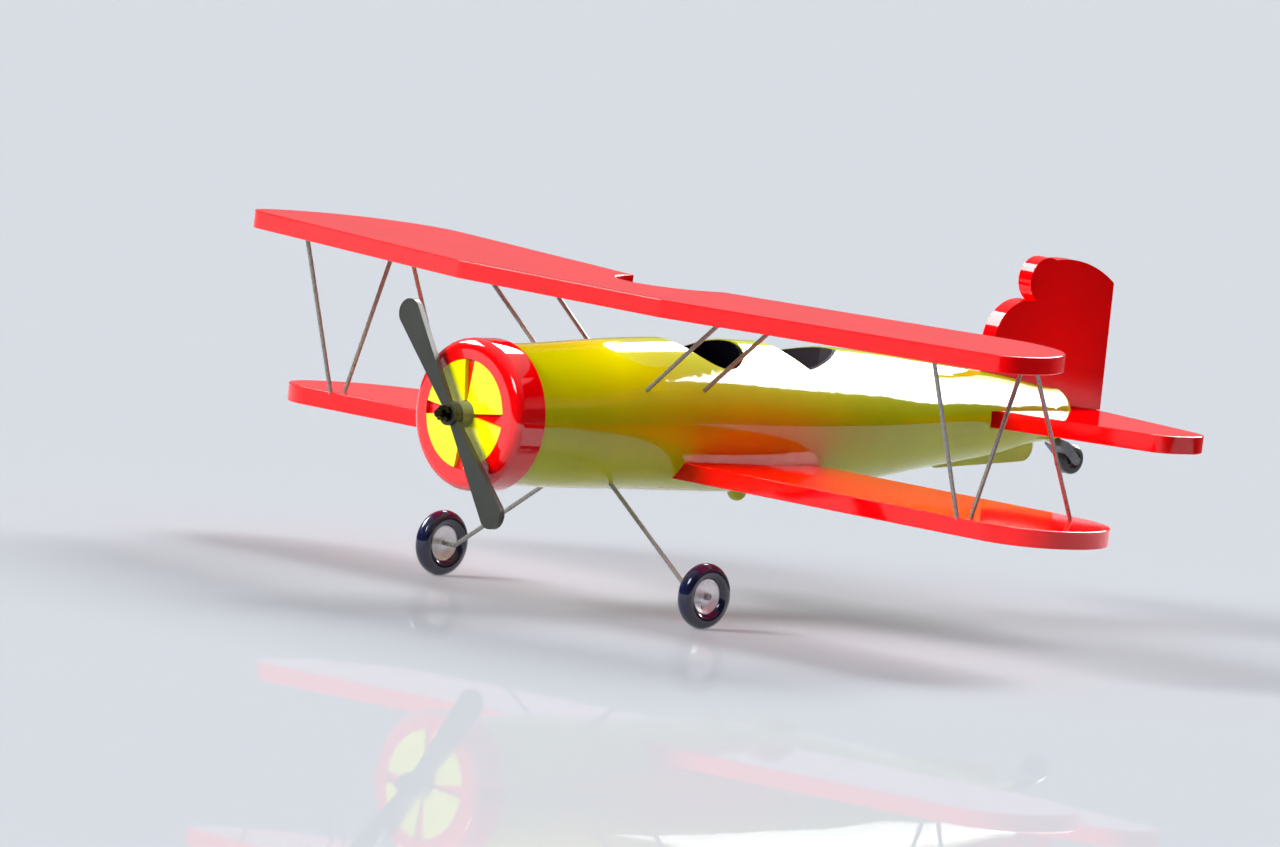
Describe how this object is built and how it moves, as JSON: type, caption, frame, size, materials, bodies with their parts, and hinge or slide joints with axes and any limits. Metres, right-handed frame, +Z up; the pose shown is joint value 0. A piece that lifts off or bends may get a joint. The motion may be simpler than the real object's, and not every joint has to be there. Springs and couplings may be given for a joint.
{
  "type": "biplane scale model",
  "caption": "Display biplane with a radial-style nose, wire struts, two open cockpits, a turning propeller and rolling main and tail wheels.",
  "frame": {"origin": "on the ground plane that the main wheels touch, below the middle of the model's length and on its plane of symmetry", "axes": "+Z up, +X along the span to the pilot's left, +Y aft along the fuselage, so the propeller faces -Y"},
  "size_m": [0.37, 0.307, 0.1213],
  "materials": {
    "red_gloss": "high gloss",
    "yellow_gloss": "high gloss",
    "yellow_plate": "gloss",
    "steel_wire": "satin",
    "olive_boss": "satin",
    "dark_metal": "satin black",
    "prop_grey": "satin",
    "tyre_gloss": "polished",
    "tail_rubber": "satin",
    "hub_polish": "mirror",
    "tail_hub_black": "gloss",
    "fork_grey": "satin",
    "tub_navy": "gloss",
    "tub_grey": "matte"
  },
  "bodies": {
    "airframe": {"axle_cap_port": "steel_wire", "axle_cap_starboard": "steel_wire", "baffle_1": "yellow_plate", "baffle_2": "yellow_plate", "baffle_3": "yellow_plate", "baffle_4": "yellow_plate", "belly_dome": "yellow_gloss", "belly_wedge": "yellow_gloss", "cabane_front_port": "steel_wire", "cabane_front_starboard": "steel_wire", "cabane_rear_port": "steel_wire", "cabane_rear_starboard": "steel_wire", "cowl_ring": "red_gloss", "cowl_web": "red_gloss", "fin_rudder": "red_gloss", "front_cockpit_tub": "tub_navy", "fuselage": "yellow_gloss", "gear_leg_port": "steel_wire", "gear_leg_starboard": "steel_wire", "lower_wing_port": "red_gloss", "lower_wing_starboard": "red_gloss", "nose_bearing": "olive_boss", "rear_cockpit_tub": "tub_grey", "strut_diagonal_port": "steel_wire", "strut_diagonal_starboard": "steel_wire", "strut_front_port": "steel_wire", "strut_front_starboard": "steel_wire", "strut_rear_port": "steel_wire", "strut_rear_starboard": "steel_wire", "tail_axle": "steel_wire", "tail_brace": "steel_wire", "tail_fork": "fork_grey", "tail_keel": "yellow_gloss", "tail_stem": "steel_wire", "tailplane": "red_gloss", "upper_wing": "red_gloss"},
    "propeller": {"prop_shaft": "dark_metal", "propeller": "prop_grey", "prop_hub_disc": "prop_grey", "prop_nut": "dark_metal"},
    "wheel_port": {"tyre_port": "tyre_gloss", "hub_port": "hub_polish"},
    "wheel_starboard": {"tyre_starboard": "tyre_gloss", "hub_starboard": "hub_polish"},
    "tail_wheel": {"tail_tyre": "tail_rubber", "tail_hub": "tail_hub_black"}
  },
  "joints": [
    {"name": "propeller_spin", "type": "hinge", "parent": "airframe", "child": "propeller", "pos_m": [0, -0.1466, 0.0624], "axis": [0, -1, 0], "continuous": true},
    {"name": "wheel_port_spin", "type": "hinge", "parent": "airframe", "child": "wheel_port", "pos_m": [0.064, -0.083, 0.0111], "axis": [1, 0, 0], "continuous": true},
    {"name": "wheel_starboard_spin", "type": "hinge", "parent": "airframe", "child": "wheel_starboard", "pos_m": [-0.064, -0.083, 0.0111], "axis": [1, 0, 0], "continuous": true},
    {"name": "tail_wheel_spin", "type": "hinge", "parent": "airframe", "child": "tail_wheel", "pos_m": [0, 0.1442, 0.0527], "axis": [1, 0, 0], "continuous": true}
  ]
}
